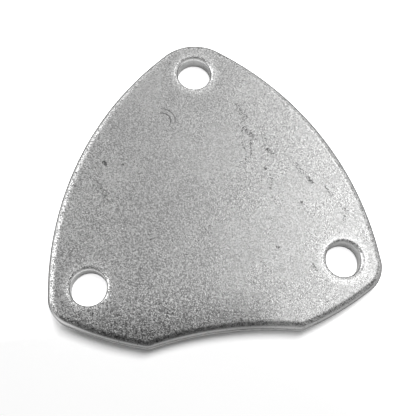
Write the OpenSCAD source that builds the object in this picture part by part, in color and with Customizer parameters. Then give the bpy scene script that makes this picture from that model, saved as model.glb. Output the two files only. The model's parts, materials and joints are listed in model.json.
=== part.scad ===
// Block-off plate: a flat three-hole cover plate with bulging sides and a shallow bite in
// the lower side. Its upper edges are rolled over, its lower edges are only broken.
// Millimetres. It lies on its underside at Z = 0. The origin is the middle of the bolt circle
// and +Y points to the top hole.

/* [Plate] */
// thickness of the plate
thick = 6.35; // [4.5:0.05:9.5]
// radius rolled on the upper outer edge
edge_r = 2.5; // [0.4:0.1:3]
// size of the small chamfer on the lower edges
foot_cut = 0.4; // [0.1:0.1:0.8]

/* [Bolt holes] */
// distance from one hole centre to the next, the same for all three
hole_pitch = 79.4; // [76:0.1:84]
// diameter of each bolt hole
hole_d = 11.1; // [6:0.1:12.5]
// radius rolled on the upper rim of each hole
rim_r = 1.2; // [0.3:0.1:2.4]

/* [Corners] */
// radius of the top corner
top_r = 15.8; // [14:0.1:18]
// how far the centre of the top corner lies inside the top hole centre
top_in = 4.7; // [2:0.1:6]
// radius of each lower corner
low_r = 9.5; // [8:0.1:12]
// how far the centre of a lower corner lies outboard of its hole centre
low_out = 2.9; // [0:0.1:4]
// how far the centre of a lower corner lies below its hole centre
low_drop = 1.9; // [0:0.1:3]

/* [Sides] */
// radius of the bulge on the left and right sides
side_r = 99.7; // [85:0.1:130]
// radius of the bulge on the lower side
foot_r = 92.9; // [80:0.1:110]

/* [Bite] */
// radius of the bite in the lower side
bite_r = 114.9; // [95:0.1:150]
// distance from the middle of the bolt circle to the crown of the bite
bite_reach = 40.6; // [38.5:0.1:41.5]
// radius of the nose on either side of the bite
nose_r = 5.5; // [4:0.1:7]

/* [Hidden] */
$fn = 96;

// Facets of the long arcs, and of the small circles that roll the edges.
long_fn = 360;
roll_fn = 24;
// Cuts run this far past the plate, and the wedges that take the tips off reach this far out.
past = 1;
wedge_reach = 40;
// A round corner stands this little proud of the sides that it joins, so that their surfaces
// cross at a small angle and don't only touch.
proud = 0.05;

bolt_r = hole_pitch / sqrt(3);
top_hole = [0, bolt_r];
left_hole = [-hole_pitch / 2, -bolt_r / 2];
right_hole = [hole_pitch / 2, -bolt_r / 2];

// Centres of the corners, and of the long arcs that touch them.
top_c = [0, bolt_r - top_in];
left_c = left_hole + [-low_out, -low_drop];
right_c = right_hole + [low_out, -low_drop];
right_side_c = bulge_centre(right_c, low_r, top_c, top_r, side_r);
left_side_c = bulge_centre(top_c, top_r, left_c, low_r, side_r);
foot_c = bulge_centre(left_c, low_r, right_c, low_r, foot_r);
bite_c = [0, -bite_reach - bite_r];

// Each nose touches the lower bulge from inside and the bite from outside.
nose_to_foot = foot_r - nose_r;
nose_to_bite = bite_r + nose_r;
foot_to_bite = foot_c.y - bite_c.y;
nose_up = (nose_to_bite ^ 2 - nose_to_foot ^ 2 + foot_to_bite ^ 2) / (2 * foot_to_bite);
nose_side = sqrt(nose_to_bite ^ 2 - nose_up ^ 2);
left_nose_c = bite_c + [-nose_side, nose_up];
right_nose_c = bite_c + [nose_side, nose_up];

// The round corners and noses, anticlockwise: [centre, radius, and the directions in which
// the rounding starts and ends].
rounds = [
    [top_c, top_r, top_c - right_side_c, top_c - left_side_c],
    [left_c, low_r, left_c - left_side_c, left_c - foot_c],
    [left_nose_c, nose_r, left_nose_c - foot_c, bite_c - left_nose_c],
    [right_nose_c, nose_r, bite_c - right_nose_c, right_nose_c - foot_c],
    [right_c, low_r, right_c - foot_c, right_c - right_side_c]
];

function unit(v) = v / norm(v);

// Centre of the circle of radius r that holds two corner circles and touches both from outside.
function bulge_centre(c1, r1, c2, r2, r) =
    let (
        span = norm(c2 - c1),
        along = ((r - r1) ^ 2 - (r - r2) ^ 2 + span ^ 2) / (2 * span),
        across = sqrt((r - r1) ^ 2 - along ^ 2),
        ahead = (c2 - c1) / span
    )
    c1 + ahead * along + [-ahead.y, ahead.x] * across;

module at(p) {
    translate([p.x, p.y, 0])
        children();
}

// Disc of the plate's thickness, with the rolled upper edge and the broken lower edge.
module disc(r) {
    rotate_extrude() {
        square([r - edge_r, thick]);
        polygon([
            [r - edge_r, 0],
            [r - foot_cut, 0],
            [r, foot_cut],
            [r, thick - edge_r],
            [r - edge_r, thick - edge_r]
        ]);
        translate([r - edge_r, thick - edge_r])
            intersection() {
                circle(r = edge_r, $fn = roll_fn);
                square(edge_r + past);
            }
    }
}

// What a round hole takes away: its bore, and the upper and lower edges of its wall.
module round_cut(r, roll) {
    rotate_extrude() {
        translate([0, -past])
            square([r, thick + 2 * past]);
        polygon([
            [r, -past],
            [r + foot_cut + past, -past],
            [r, foot_cut]
        ]);
        difference() {
            translate([r, thick - roll])
                square([roll, roll + past]);
            translate([r + roll, thick - roll])
                circle(r = roll, $fn = roll_fn);
        }
    }
}

// Wedge that spans a round corner: from its centre out past the points where the rounding
// starts and ends.
module wedge(corner) {
    translate([0, 0, -past])
        linear_extrude(height = thick + 2 * past)
            polygon([
                corner[0],
                corner[0] + wedge_reach * unit(corner[2]),
                corner[0] + wedge_reach * unit(corner[3])
            ]);
}

// The three bulges and the bite meet in sharp tips. A wedge takes off each of them.
module middle() {
    difference() {
        intersection() {
            at(left_side_c) disc(side_r, $fn = long_fn);
            at(right_side_c) disc(side_r, $fn = long_fn);
            at(foot_c) disc(foot_r, $fn = long_fn);
        }
        at(bite_c) round_cut(bite_r, edge_r, $fn = long_fn);
        for (corner = rounds)
            wedge(corner);
    }
}

module plate() {
    color([0.71, 0.72, 0.73])
        difference() {
            union() {
                middle();
                for (corner = rounds)
                    at(corner[0]) disc(corner[1] + proud);
            }
            for (c = [top_hole, left_hole, right_hole])
                at(c) round_cut(hole_d / 2, rim_r);
        }
}

plate();
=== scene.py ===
"""Block-off plate: a satin, finely pebbled metal plate with three bolt holes on a white floor."""
import json
import math

import bpy
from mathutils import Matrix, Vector


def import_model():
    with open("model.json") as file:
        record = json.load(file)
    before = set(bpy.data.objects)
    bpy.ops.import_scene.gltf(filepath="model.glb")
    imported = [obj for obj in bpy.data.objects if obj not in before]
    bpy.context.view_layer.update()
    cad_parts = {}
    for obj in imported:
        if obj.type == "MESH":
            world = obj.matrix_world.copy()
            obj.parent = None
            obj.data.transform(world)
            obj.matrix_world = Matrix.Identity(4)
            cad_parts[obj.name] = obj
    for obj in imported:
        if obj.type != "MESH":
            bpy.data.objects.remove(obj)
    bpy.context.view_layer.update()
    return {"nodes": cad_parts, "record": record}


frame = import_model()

MM = 0.001
HOLES = [
    Vector((*mount["pos_m"][:2], 0)) / MM
    for mount in frame["record"]["mounts"]
    if mount["kind"] == "bore"
]

# Camera, from a fit of the outline and the holes to the photograph. Millimetres and pixels.
CAMERA_AT = Vector((-19.05, -73.66, 243.37)) * MM
CAMERA_TURN = tuple(math.radians(a) for a in (19.733, -4.767, -7.468))
FRAME_PX = 416
FOCAL_PX = 782.4
MIDDLE_PX = (242.75, 174.25)
SENSOR = 36.0
CLIP = (0.01, 20)

# The lamp lights the floor and throws the shadow. It is in metres, and its power in watts.
LAMP_AT = Vector((0.21, 0.31, 1.0))
LAMP_SIZE = (0.3, 0.56)
LAMP_POWER = 10.0
SKY = 0.18

# What the metal shows: a room with a soft window on the right, a low one on the left, a dark
# front, a lighter back and a pale ring above the horizon. Spans and edges are measured on the
# unit vector in which the metal looks.
ROOM = 0.51
BACK = 0.26
BACK_SPAN = (0.3, 0.7)
WINDOW = 1.92
WINDOW_SIDE = Vector((1.15, 0.12, 1.0))
WINDOW_EDGE = (0.766, 0.839)
WINDOW_END = (0.36, 0.6)
WINDOW_END_SHARE = 0.22
LEFT_WINDOW = 2.5
LEFT_SIDE = Vector((-1.0, 0.4, 0.4))
LEFT_EDGE = (0.75, 1.0)
FRONT = 0.47
FRONT_SPAN = (-0.28, 0.18)
RING_SPAN = (0.75, 0.1)
RING_FRONT = 0.3
RING_BACK = 0.75
RING_FADE = (-0.3, 0.5)

# Floor. It lies a hair under the plate.
FLOOR_REACH = 3.0
FLOOR_DROP = 0.02 * MM
FLOOR_TONE = 0.8

# Glow of the floor as the camera sees it: little where the shadow falls, in front and at the
# lower right, and more behind it, aside of it and far away. Spans are in millimetres.
GLOW_FRONT = 0.06
GLOW = 0.75
GLOW_SPAN = (-36, -27)
GLOW_ASIDE = Vector((0.6, 0.8, 0))
GLOW_ASIDE_SPAN = (-38, 24)
GLOW_REACH = (90, 250)

# Tone and sheen of the metal.
BASE = 0.58
BASE_CHANGE = 0.02
BLUE_SHARE = 0.995
ROUGHNESS = (0.25, 0.28)
ROUGHER = 0.15

# Grain. Scales are per millimetre, heights and spans in millimetres.
FINE_SCALE = 5.0
FINE_DETAIL = 1.0
PEBBLE_SCALE = 3.0
SPECKLE_SCALE = 3.5
MOTTLE_SCALE = 0.06
MOTTLE_DETAIL = 3.0
MOTTLE_ROUGH = 0.6
MOTTLE_SPAN = (0.3, 0.7)
GRAIN_TURN = Vector((0.5, 0.35, 0.8))
GRAIN_HEIGHT = 0.028
PEBBLE_HEIGHT = 0.03
COARSE = 2.2
SPECKLE = 0.7
SPECKLE_LEFT = 0.6
SPECKLE_WAY = Vector((-0.9, -0.44, 0))
SPECKLE_SPAN = (5, 32)

# Darker towards the lower left: the darkening grows along one direction and fades on both sides of
# its middle.
LOWER_LEFT_DARKENING = 0.63
LOWER_LEFT_WAY = Vector((-0.1, -0.995, 0))
LOWER_LEFT_SPAN = (23.5, 45)
LOWER_LEFT_MIDDLE = -17
LOWER_LEFT_REACH = (38, 22)

# Lighter metal round the holes, by distance from their centres.
HALO = 0.34
HALO_SPAN = (9.2, 6.4)

# Edges. The spans tell how upright the surface's normal is: 1 on the face, 0 on the walls.
# Painted shade: the rolled edge is darkened all round.
ROLL_PAINTED_SHADE = 0.28
ROLL_SPAN = (0.999, 0.96)
# Painted shade: the steep limb is darkened, standing in for the dark floor it mirrors near the
# plate.
LIMB_PAINTED_SHADE = 0.15
LIMB_SPAN = (0.93, 0.7)
# Painted gleam: the walls and the low part of the edge are lightened.
LOW_PAINTED_GLEAM = 0.3
LOW_SPAN = (0.85, 0.65)
WALL_SPAN = (0.1, 0.05)
RISING_SPAN = (0.02, 0.1)

# Painted gleam on the low part of the rolled edge, where that faces the front. It ends at the
# right.
FOOT_PAINTED_GLEAM = 1.2
FOOT_LOW_SPAN = (0.8, 0.5)
FOOT_FRONT_SPAN = (-0.2, -0.6)
FOOT_GLEAM_END = (18, -12)

# Marks on the face, in millimetres: the two ends of each, its half width, and how dense its
# specks are.
MARKS = (
    ((-32.2, 17.0), (-31.7, 16.2), 0.8, 1.9),
    ((-26.4, 15.7), (-26.1, 15.5), 0.5, 1.8),
    ((-35.0, 9.5), (-32.5, 5.5), 2.4, 0.6),
    ((12.5, 32.5), (14.8, 28.5), 1.4, 0.8),
    ((14.3, 28.5), (14.0, 24.0), 1.2, 0.65),
    ((13.8, 23.8), (17.4, 20.8), 1.3, 0.85),
    ((12.8, 19.5), (13.4, 16.6), 0.35, 1.15),
    ((15.8, 19.9), (15.0, 13.6), 0.45, 0.9),
    ((13.9, 15.8), (12.9, 12.0), 0.35, 1.1),
    ((20.0, 23.8), (20.4, 19.4), 1.2, 0.6),
    ((20.4, 16.9), (22.1, 15.0), 1.3, 0.95),
    ((19.2, 9.9), (19.3, 9.5), 0.7, 1.2),
    ((21.0, 7.1), (20.0, 2.7), 0.8, 0.85),
    ((29.1, 10.4), (31.3, 7.1), 1.2, 0.9),
    ((32.6, 5.2), (33.7, 3.4), 0.9, 1.3),
    ((37.2, 2.7), (39.5, -1.7), 0.6, 0.85),
    ((29.2, -3.0), (29.4, -3.0), 0.5, 2.0),
    ((41.7, -6.0), (43.2, -7.2), 0.8, 0.75),
    ((42.5, -8.0), (41.8, -12.0), 0.8, 0.5),
    ((19.3, -16.7), (19.7, -17.1), 0.8, 1.3),
    ((29.4, -22.9), (30.6, -25.6), 0.4, 1.2),
    ((-5.6, -11.9), (-0.7, -7.9), 1.2, 0.5),
)
# Share of a mark's half width that has the full density.
MARK_CORE = 0.4
SPECK_SCALE = 3.0
SPECK_LIFT = 0.24
SPECK_EDGE = (0.74, 0.8)
SPECK_SHADE = 0.8

# Two curved scuffs with one centre. They fade away from a point between them.
SCUFF_AT = Vector((-12.4, 29.5, 0))
SCUFF_RADII = (4.3, 2.8)
SCUFF_HALF_WIDTH = 0.3
SCUFF_MIDDLE = Vector((-9.8, 31.5, 0))
SCUFF_REACH = 4.4
SCUFF_CORE = 0.6
SCUFF_SHADE = 0.65


def camera():
    data = bpy.data.cameras.new("camera")
    data.sensor_width = SENSOR
    data.lens = FOCAL_PX / FRAME_PX * SENSOR
    data.shift_x = (FRAME_PX / 2 - MIDDLE_PX[0]) / FRAME_PX
    data.shift_y = (MIDDLE_PX[1] - FRAME_PX / 2) / FRAME_PX
    data.clip_start, data.clip_end = CLIP
    made = bpy.data.objects.new("camera", data)
    made.location = CAMERA_AT
    made.rotation_euler = CAMERA_TURN
    bpy.context.scene.collection.objects.link(made)
    bpy.context.scene.camera = made


def lamp():
    """Soft lamp that is aimed at the origin. The metal doesn't show it."""
    data = bpy.data.lights.new("lamp", "AREA")
    data.shape = "RECTANGLE"
    data.size, data.size_y = LAMP_SIZE
    data.energy = LAMP_POWER
    made = bpy.data.objects.new("lamp", data)
    made.location = LAMP_AT
    made.rotation_euler = (-LAMP_AT).to_track_quat("-Z", "Y").to_euler()
    made.visible_glossy = False
    bpy.context.scene.collection.objects.link(made)


class Nodes:
    """Shorthand for building a node tree."""

    def __init__(self, tree):
        self.tree = tree
        tree.nodes.clear()

    def put(self, socket, value):
        if isinstance(value, bpy.types.NodeSocket):
            self.tree.links.new(value, socket)
        else:
            socket.default_value = value

    def add(self, kind, inputs=None, **settings):
        node = self.tree.nodes.new(kind)
        for name, value in settings.items():
            setattr(node, name, value)
        for name, value in (inputs or {}).items():
            self.put(node.inputs[name], value)
        return node

    def math(self, operation, *values, clamp=False):
        inputs = dict(enumerate(values))
        return self.add("ShaderNodeMath", inputs, operation=operation, use_clamp=clamp).outputs[0]

    def vector(self, operation, *values, out=0):
        inputs = dict(enumerate(values))
        return self.add("ShaderNodeVectorMath", inputs, operation=operation).outputs[out]

    def scaled(self, vector, scale):
        inputs = {"Vector": vector, "Scale": scale}
        return self.add("ShaderNodeVectorMath", inputs, operation="SCALE").outputs[0]

    def parts(self, vector):
        return self.add("ShaderNodeSeparateXYZ", {0: vector}).outputs

    def colour(self, red, green, blue):
        return self.add("ShaderNodeCombineColor", {0: red, 1: green, 2: blue}).outputs[0]

    def mix(self, fac, a, b):
        node = self.add("ShaderNodeMix", {0: fac}, data_type="RGBA")
        self.put(node.inputs[6], a)
        self.put(node.inputs[7], b)
        return node.outputs[2]

    def span(self, value, low, high, to_low=0.0, to_high=1.0):
        """Goes smoothly from to_low at low to to_high at high."""
        inputs = {
            "Value": value, "From Min": low, "From Max": high, "To Min": to_low, "To Max": to_high}
        return self.add("ShaderNodeMapRange", inputs, interpolation_type="SMOOTHSTEP").outputs[0]

    def cells(self, at, scale, out, feature="F1"):
        inputs = {"Vector": at, "Scale": scale}
        return self.add("ShaderNodeTexVoronoi", inputs, feature=feature).outputs[out]

    def noise(self, at, scale, detail=0.0, rough=0.5):
        inputs = {"Vector": at, "Scale": scale, "Detail": detail, "Roughness": rough}
        return self.add("ShaderNodeTexNoise", inputs).outputs[0]


def ray_kinds(n):
    """1 for the camera's own rays, for those in metal and for those through glass."""
    path = n.add("ShaderNodeLightPath").outputs
    return path["Is Camera Ray"], path["Is Glossy Ray"], path["Is Transmission Ray"]


def world():
    """White where it is seen directly, the studio where metal shows it, and else a dim sky."""
    made = bpy.data.worlds.new("studio")
    made.use_nodes = True
    bpy.context.scene.world = made
    n = Nodes(made.node_tree)
    direction = n.add("ShaderNodeTexCoord").outputs["Generated"]
    part = n.parts(direction)

    to_window = n.vector("DOT_PRODUCT", direction, WINDOW_SIDE.normalized(), out=1)
    window_end = n.span(part["X"], *WINDOW_END, 1.0, WINDOW_END_SHARE)
    window = n.span(to_window, *WINDOW_EDGE, 0.0, WINDOW)
    window = n.math("MULTIPLY_ADD", window, window_end, ROOM)
    front = n.span(part["Y"], *FRONT_SPAN, FRONT, 1.0)
    to_left = n.vector("DOT_PRODUCT", direction, LEFT_SIDE.normalized(), out=1)
    left = n.span(to_left, *LEFT_EDGE, 0.0, LEFT_WINDOW)
    ring = n.span(part["Y"], *RING_FADE, RING_FRONT, RING_BACK)
    low = n.math("MULTIPLY", n.span(part["Z"], *RING_SPAN), ring)
    back = n.span(part["Y"], *BACK_SPAN, 0.0, BACK)
    shade = n.math("MULTIPLY_ADD", window, front, left)
    shade = n.math("ADD", shade, n.math("ADD", low, back))

    camera_ray, glossy, through = ray_kinds(n)
    studio = n.mix(glossy, (SKY, SKY, SKY, 1), n.colour(shade, shade, shade))
    seen = n.math("ADD", camera_ray, through, clamp=True)
    light = n.add("ShaderNodeBackground", {"Color": n.mix(seen, studio, (1, 1, 1, 1))})
    n.add("ShaderNodeOutputWorld", {"Surface": light.outputs[0]})


def floor():
    """White floor. What the camera sees of it glows a little, least where the shadow falls."""
    mesh = bpy.data.meshes.new("floor")
    far = FLOOR_REACH
    corners = [(-far, -far, 0), (far, -far, 0), (far, far, 0), (-far, far, 0)]
    mesh.from_pydata(corners, [], [(0, 1, 2, 3)])
    made = bpy.data.objects.new("floor", mesh)
    made.location.z = -FLOOR_DROP
    bpy.context.scene.collection.objects.link(made)
    material = bpy.data.materials.new("floor")
    material.use_nodes = True
    n = Nodes(material.node_tree)

    camera_ray, glossy, through = ray_kinds(n)
    seen = n.math("ADD", n.math("ADD", camera_ray, glossy), through, clamp=True)
    colour = n.mix(seen, (FLOOR_TONE, FLOOR_TONE, FLOOR_TONE, 1), (1, 1, 1, 1))
    bsdf = n.add("ShaderNodeBsdfDiffuse", {"Color": colour})

    at = n.scaled(n.add("ShaderNodeTexCoord").outputs["Object"], 1 / MM)
    behind = n.span(n.parts(at)["Y"], *GLOW_SPAN, GLOW_FRONT, GLOW)
    aside = n.vector("DOT_PRODUCT", at, GLOW_ASIDE, out=1)
    aside = n.span(aside, *GLOW_ASIDE_SPAN, GLOW_FRONT, GLOW)
    away = n.span(n.vector("LENGTH", at, out=1), *GLOW_REACH, GLOW_FRONT, GLOW)
    glow = n.math("MAXIMUM", n.math("MAXIMUM", behind, aside), away)
    shine = n.add("ShaderNodeEmission", {"Strength": n.math("MULTIPLY", glow, camera_ray)})
    both = n.add("ShaderNodeAddShader", {0: bsdf.outputs[0], 1: shine.outputs[0]})
    n.add("ShaderNodeOutputMaterial", {"Surface": both.outputs[0]})
    mesh.materials.append(material)


def mark(n, at, start, end, half_width, density):
    """Falls from the given density on the line between two points to 0 beside it."""
    start, end = Vector((*start, 0)), Vector((*end, 0))
    way = end - start
    from_start = n.vector("SUBTRACT", at, start)
    along = n.vector("DOT_PRODUCT", from_start, way, out=1)
    along = n.math("MULTIPLY", along, 1 / way.length_squared, clamp=True)
    beside = n.vector("SUBTRACT", from_start, n.scaled(way, along))
    away = n.vector("LENGTH", beside, out=1)
    return n.span(away, half_width, half_width * MARK_CORE, 0.0, density)


def specks(n, at, grain):
    """Dark specks of the grain in the marks."""
    density = 0.0
    for each in MARKS:
        density = n.math("MAXIMUM", density, mark(n, at, *each))
    spots = n.noise(grain, SPECK_SCALE)
    return n.span(n.math("MULTIPLY_ADD", density, SPECK_LIFT, spots), *SPECK_EDGE)


def scuff(n, at):
    """Two thin arcs side by side."""
    away = n.vector("DISTANCE", at, SCUFF_AT, out=1)
    lines = []
    for radius in SCUFF_RADII:
        off = n.math("ABSOLUTE", n.math("SUBTRACT", away, radius))
        lines.append(n.span(off, SCUFF_HALF_WIDTH, 0.0))
    away = n.vector("DISTANCE", at, SCUFF_MIDDLE, out=1)
    near = n.span(away, SCUFF_REACH, SCUFF_REACH * SCUFF_CORE)
    return n.math("MULTIPLY", n.math("MAXIMUM", *lines), near)


def rim_nearness(n, at):
    """1 at the holes' rims, 0 away from them."""
    near = 0.0
    for hole in HOLES:
        away = n.vector("DISTANCE", at, hole, out=1)
        near = n.math("MAXIMUM", near, n.span(away, *HALO_SPAN))
    return near


def metal():
    """Blasted and plated steel: a fine pebbled grain under a satin sheen."""
    made = bpy.data.materials.new("blasted_metal")
    made.use_nodes = True
    n = Nodes(made.node_tree)
    coords = n.add("ShaderNodeTexCoord")
    at = n.scaled(coords.outputs["Object"], 1 / MM)
    flat = n.vector("MULTIPLY", at, Vector((1, 1, 0)))
    right = n.parts(at)["X"]

    # Darker towards the lower left.
    aside = n.math("ABSOLUTE", n.math("SUBTRACT", right, LOWER_LEFT_MIDDLE))
    lower_left = n.span(n.vector("DOT_PRODUCT", at, LOWER_LEFT_WAY, out=1), *LOWER_LEFT_SPAN)
    lower_left = n.math("MULTIPLY", lower_left, n.span(aside, *LOWER_LEFT_REACH))

    # The rolled edge, its steep limb, its low part in front, and the walls. The true normal
    # tells the walls, whose facets are upright, from the edge that is smoothed into them.
    normal = n.parts(coords.outputs["Normal"])
    upright = n.math("ABSOLUTE", normal["Z"])
    facet = n.parts(n.add("ShaderNodeNewGeometry").outputs["True Normal"])["Z"]
    roll = n.span(upright, *ROLL_SPAN)
    wall = n.span(n.math("ABSOLUTE", facet), *WALL_SPAN)
    not_wall = n.math("SUBTRACT", 1.0, wall)
    rising = n.span(facet, *RISING_SPAN)
    limb = n.math("MULTIPLY", n.span(upright, *LIMB_SPAN), rising)
    foot = n.math(
        "MULTIPLY", n.span(normal["Y"], *FOOT_FRONT_SPAN), n.span(upright, *FOOT_LOW_SPAN))
    foot = n.math("MULTIPLY", n.math("MULTIPLY", foot, rising), n.span(right, *FOOT_GLEAM_END))
    # The walls and the low part of the edge: smoother grain there, and a painted gleam.
    smooth_and_painted_gleam = n.math("MAXIMUM", wall, n.span(upright, *LOW_SPAN))
    grained = n.math("SUBTRACT", 1.0, smooth_and_painted_gleam)

    # Relief of small pebbles, coarser towards the lower left and where the edge is rolled over.
    # The grain is turned, so that no layer of its cells lies in the face.
    turned = n.add(
        "ShaderNodeVectorRotate", {"Vector": at, "Rotation": GRAIN_TURN},
        rotation_type="EULER_XYZ").outputs[0]
    fine = n.math("MULTIPLY", n.noise(turned, FINE_SCALE, FINE_DETAIL), GRAIN_HEIGHT)
    pebbles = n.cells(turned, PEBBLE_SCALE, "Distance", feature="SMOOTH_F1")
    relief = n.math("MULTIPLY_ADD", pebbles, -PEBBLE_HEIGHT, fine)
    coarse_zone = n.math("MAXIMUM", lower_left, roll)
    coarse = n.math("MULTIPLY_ADD", coarse_zone, COARSE, 1.0)
    relief = n.math("MULTIPLY", relief, n.math("MULTIPLY", coarse, grained))
    bump = n.add("ShaderNodeBump", {"Height": relief, "Strength": 1.0, "Distance": MM})

    # Tone: speckled and a little mottled, then darker or lighter from place to place. The edges
    # get painted shade and painted gleam.
    cell = n.cells(turned, SPECKLE_SCALE, "Color")
    cell = n.vector("DOT_PRODUCT", cell, Vector((1, 0, 0)), out=1)
    left = n.vector("DOT_PRODUCT", at, SPECKLE_WAY, out=1)
    left = n.span(left, *SPECKLE_SPAN, 1.0, 1.0 + SPECKLE_LEFT)
    contrast = n.math("MULTIPLY", n.math("ADD", coarse_zone, left), SPECKLE)
    contrast = n.math("MULTIPLY", contrast, grained)
    speckle = n.math("MULTIPLY_ADD", n.math("SUBTRACT", cell, 0.5), contrast, 1.0)
    base = (BASE - BASE_CHANGE, BASE + BASE_CHANGE)
    mottle = n.noise(at, MOTTLE_SCALE, MOTTLE_DETAIL, MOTTLE_ROUGH)
    mottle = n.span(mottle, *MOTTLE_SPAN, *base)
    tone = n.math("MULTIPLY", speckle, mottle)
    speck = specks(n, flat, turned)
    shades = (
        # Darker towards the lower left, but not on the walls.
        (n.math("MULTIPLY", lower_left, not_wall), LOWER_LEFT_DARKENING),
        # Painted shade on the rolled edge.
        (roll, ROLL_PAINTED_SHADE),
        # Painted shade on the steep limb.
        (limb, LIMB_PAINTED_SHADE),
        # Painted gleam on the walls and the low edge.
        (smooth_and_painted_gleam, -LOW_PAINTED_GLEAM),
        # Painted gleam on the low edge in front.
        (foot, -FOOT_PAINTED_GLEAM),
        (n.math("MULTIPLY", rim_nearness(n, flat), not_wall), -HALO),
        (speck, SPECK_SHADE),
        (scuff(n, flat), SCUFF_SHADE),
    )
    for amount, shade in shades:
        tone = n.math("MULTIPLY", tone, n.math("MULTIPLY_ADD", amount, -shade, 1.0))
    colour = n.colour(tone, tone, n.math("MULTIPLY", tone, BLUE_SHARE))

    # The tint keeps the steep limb from mirroring the white floor.
    rough = n.span(mottle, *base, *ROUGHNESS)
    rough = n.math("MULTIPLY_ADD", n.math("MAXIMUM", speck, wall), ROUGHER, rough)
    tint = n.math("SUBTRACT", 1.0, limb)
    bsdf = n.add("ShaderNodeBsdfPrincipled", {
        "Base Color": colour,
        "Metallic": 1.0,
        "Roughness": rough,
        "Specular Tint": n.colour(tint, tint, tint),
        "Normal": bump.outputs[0],
    })
    n.add("ShaderNodeOutputMaterial", {"Surface": bsdf.outputs[0]})
    return made


def dress_plate():
    node = frame["nodes"]["plate"]
    node.data.materials.clear()
    node.data.materials.append(metal())


camera()
lamp()
world()
floor()
dress_plate()
bpy.context.scene.view_settings.view_transform = "Standard"
